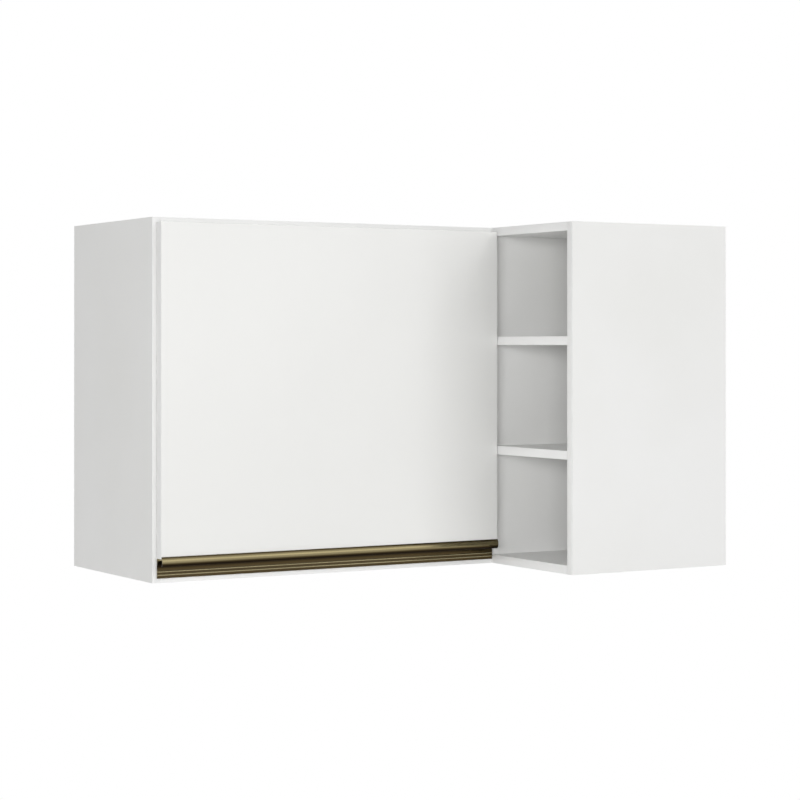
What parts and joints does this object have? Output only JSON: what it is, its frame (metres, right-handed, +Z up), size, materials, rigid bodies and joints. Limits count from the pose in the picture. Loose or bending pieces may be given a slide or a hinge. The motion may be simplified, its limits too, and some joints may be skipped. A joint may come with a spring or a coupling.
{
  "type": "corner wall cabinet",
  "caption": "Corner wall cabinet with a wide lift-up flap on a bronze pull profile, and open niches on the short return",
  "frame": {"origin": "centre of the bounding box at the underside", "axes": "+X along the door run towards the corner's side wall, +Y towards the wall behind, +Z up"},
  "size_m": [0.996, 0.581, 0.6],
  "materials": {
    "carcass_board": "white melamine-faced particle board, fine satin",
    "flap_board": "white faced board, smooth half-gloss",
    "hardboard": "white-lacquered hardboard",
    "beech": "plain turned beech, fluted",
    "bronze_profile": "extruded aluminium, dark bronze anodised, fine satin",
    "zinc_casting": "die-cast zinc, dull",
    "bright_steel": "zinc-plated or nickel-plated steel",
    "strut_paint": "black painted steel tube",
    "strut_chrome": "hard chromed rod",
    "bumper_rubber": "soft clear-white bumper"
  },
  "bodies": {
    "carcass": {"left_side": "carcass_board", "right_side": "carcass_board", "end_panel": "carcass_board", "top_panel": "carcass_board", "bottom_panel": "carcass_board", "blind_panel": "carcass_board", "niche_shelf_lower": "carcass_board", "niche_shelf_upper": "carcass_board", "inner_shelf": "carcass_board", "hanging_rail_upper": "carcass_board", "hanging_rail_lower": "carcass_board", "back_panel": "hardboard", "dowels": "beech", "cam_housings": "zinc_casting", "cam_bolts": "bright_steel", "shelf_pins": "bright_steel", "hinge_left_top_leaf": "bright_steel", "hinge_left_pin": "bright_steel", "hinge_middle_top_leaf": "bright_steel", "hinge_middle_pin": "bright_steel", "hinge_right_top_leaf": "bright_steel", "hinge_right_pin": "bright_steel", "strut_side_bracket": "bright_steel"},
    "flap": {"door_panel": "flap_board", "handle_profile": "bronze_profile", "door_bumpers": "bumper_rubber", "hinge_left_door_leaf": "bright_steel", "hinge_middle_door_leaf": "bright_steel", "hinge_right_door_leaf": "bright_steel", "strut_door_bracket": "bright_steel"},
    "strut_tube": {"strut_cylinder": "strut_paint"},
    "strut_piston_rod": {"strut_rod": "strut_chrome"}
  },
  "joints": [
    {"name": "flap_lift", "type": "hinge", "parent": "carcass", "child": "flap", "pos_m": [-0.16325, -0.0441, 0.59], "axis": [-1, 0, 0], "range_deg": [0, 90]},
    {"name": "strut_swing", "type": "hinge", "parent": "carcass", "child": "strut_tube", "pos_m": [-0.467, 0.0035, 0.335], "axis": [1, 0, 0], "range_deg": [0, 19.08]},
    {"name": "strut_slide", "type": "slide", "parent": "strut_tube", "child": "strut_piston_rod", "axis": [0, -0.1483, 0.9889], "range_m": [0, 0.08251]}
  ],
  "couplings": [
    {"joint": "strut_swing", "follows": "flap_lift", "ratio": 0.21201},
    {"joint": "strut_slide", "follows": "flap_lift", "m_per_rad": 0.052529}
  ]
}
